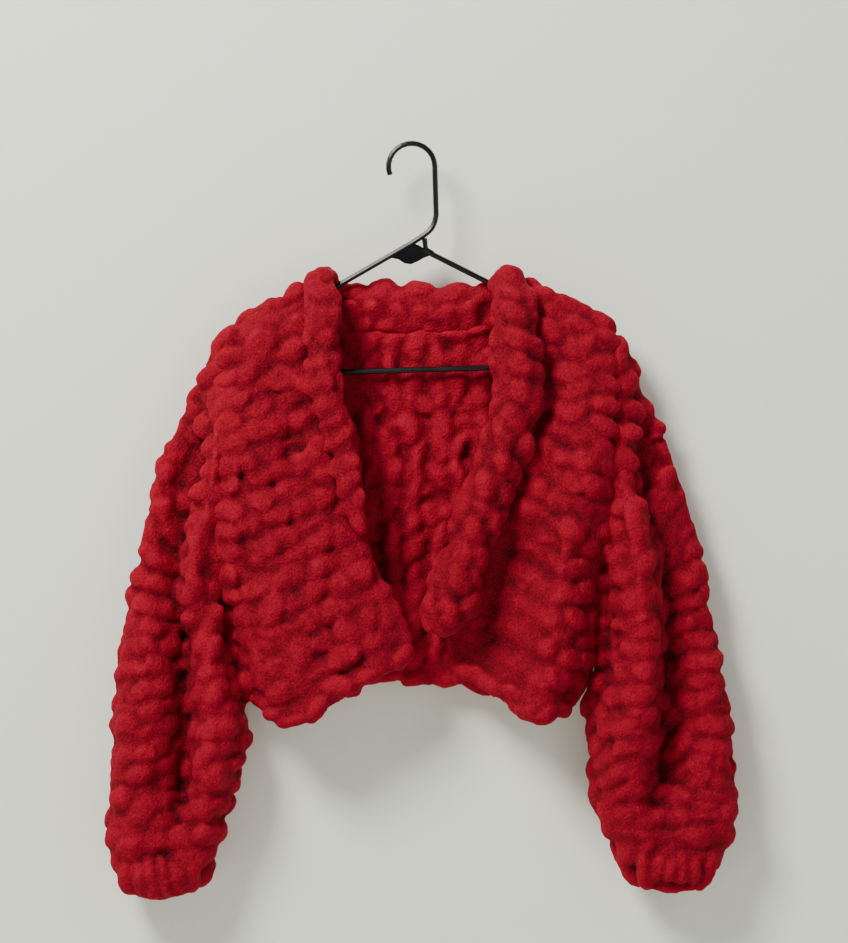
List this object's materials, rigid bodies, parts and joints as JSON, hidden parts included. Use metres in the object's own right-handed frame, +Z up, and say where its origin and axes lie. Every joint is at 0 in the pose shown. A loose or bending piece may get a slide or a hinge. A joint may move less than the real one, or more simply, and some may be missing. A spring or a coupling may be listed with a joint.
{
  "type": "bolero cardigan on a clothes hanger",
  "caption": "Cropped crimson bolero hand-knitted in thick plush yarn, with long sleeves and a rolled shawl collar, hanging open on a black moulded hanger.",
  "frame": {"origin": "inside top of the hanger's hook, where a peg carries the whole part", "axes": "+Z up, +X to the viewer's right seen from the front, -Y the garment's front, +Y towards the wall"},
  "size_m": [0.6564, 0.0923, 0.7739],
  "materials": {
    "plush_yarn": "thick chenille knit with a deep soft pile",
    "black_plastic": "satin injection moulding"
  },
  "bodies": {
    "root": {"back": "plush_yarn", "right_front": "plush_yarn", "left_front": "plush_yarn", "right_sleeve": "plush_yarn", "left_sleeve": "plush_yarn", "neck_band": "plush_yarn", "right_collar": "plush_yarn", "left_collar": "plush_yarn", "hanger": "black_plastic"}
  },
  "joints": []
}
